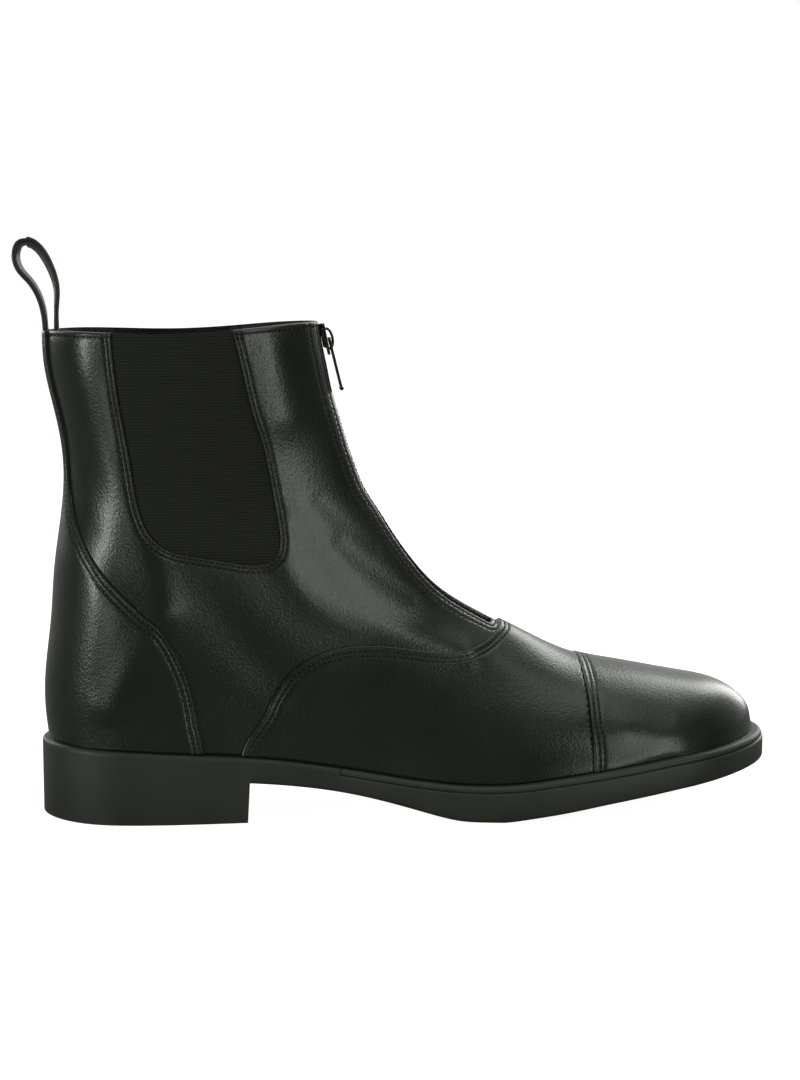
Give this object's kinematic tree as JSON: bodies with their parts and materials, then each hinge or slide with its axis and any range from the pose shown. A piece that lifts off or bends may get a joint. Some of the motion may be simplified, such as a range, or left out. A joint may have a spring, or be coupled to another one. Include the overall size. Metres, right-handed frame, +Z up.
{
  "type": "paddock boot",
  "caption": "Ankle-high riding boot with elastic side gores, a front zip with pull tab, a toe cap, a heel counter, a pull loop and a low moulded heel.",
  "frame": {"origin": "on the floor, at the middle of the heel's tread", "axes": "+X towards the toe, +Y towards the inner side of the foot, +Z up"},
  "size_m": [0.2999, 0.0982, 0.2251],
  "materials": {
    "leather": "black smooth faux leather, satin gloss, fine pebble grain",
    "elastic": "matt black ribbed elastic",
    "webbing": "black woven tape",
    "rubber": "black moulded rubber, satin",
    "metal": "black lacquered metal",
    "teeth": "black moulded zip chain",
    "lining": "black textile lining and insole cover"
  },
  "bodies": {
    "boot": {"sole_unit": "rubber", "insole": "lining", "upper": "leather", "heel_counter": "leather", "vamp": "leather", "toe_cap": "leather", "gore_outer": "elastic", "gore_inner": "elastic", "zip_tape": "webbing", "zip_teeth": "teeth", "zip_slider": "metal", "pull_loop": "webbing"},
    "pull_tab": {"zip_pull_tab": "metal"}
  },
  "joints": [
    {"name": "pull_tab_swing", "type": "hinge", "parent": "boot", "child": "pull_tab", "pos_m": [0.07441, 0, 0.18663], "axis": [0, -1, 0], "range_deg": [-3, 130]}
  ]
}
